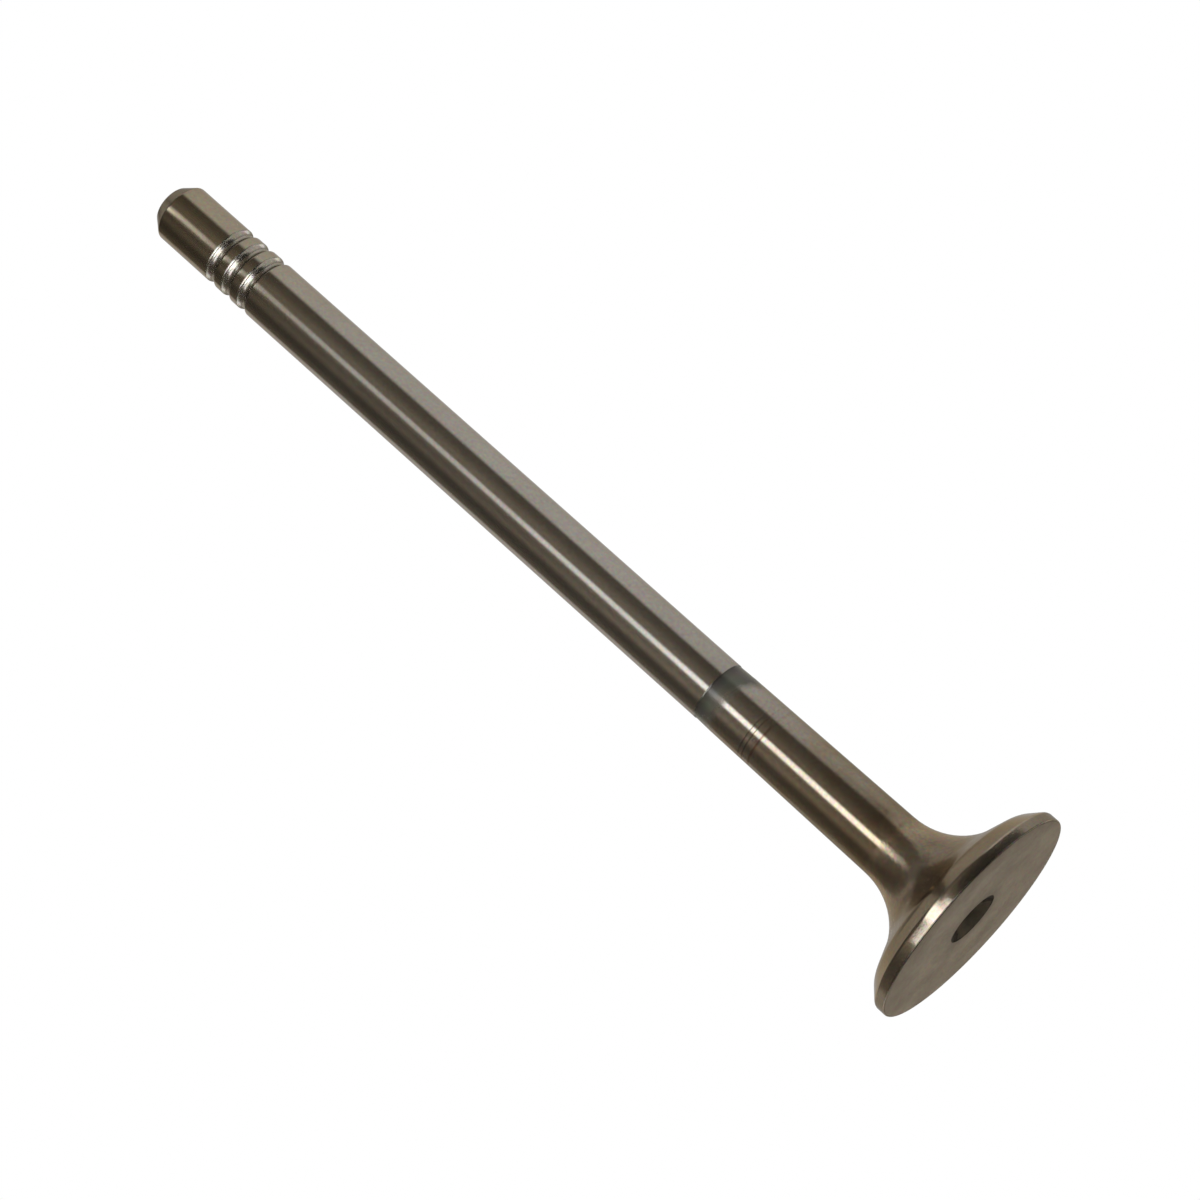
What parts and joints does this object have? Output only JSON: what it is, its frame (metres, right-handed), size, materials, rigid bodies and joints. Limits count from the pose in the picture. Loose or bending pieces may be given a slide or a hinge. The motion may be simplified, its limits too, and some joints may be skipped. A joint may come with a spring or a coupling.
{
  "type": "engine valve",
  "caption": "Poppet valve in one piece: long ground stem with round keeper grooves near its chamfered tip, tulip-shaped back, conical seat and a dished head with a central dimple.",
  "frame": {"origin": "centre of the combustion face, in the plane of the head's rim, which is the plane that the valve stands on", "axes": "+Z along the stem, from the head to the tip; X and Y are free, because the valve is the same all the way round"},
  "size_m": [0.033, 0.033, 0.152],
  "materials": {
    "steel": "ground and polished valve steel with a brownish tint, finer on the stem than on the head"
  },
  "bodies": {
    "root": {"valve": "steel"}
  },
  "joints": []
}
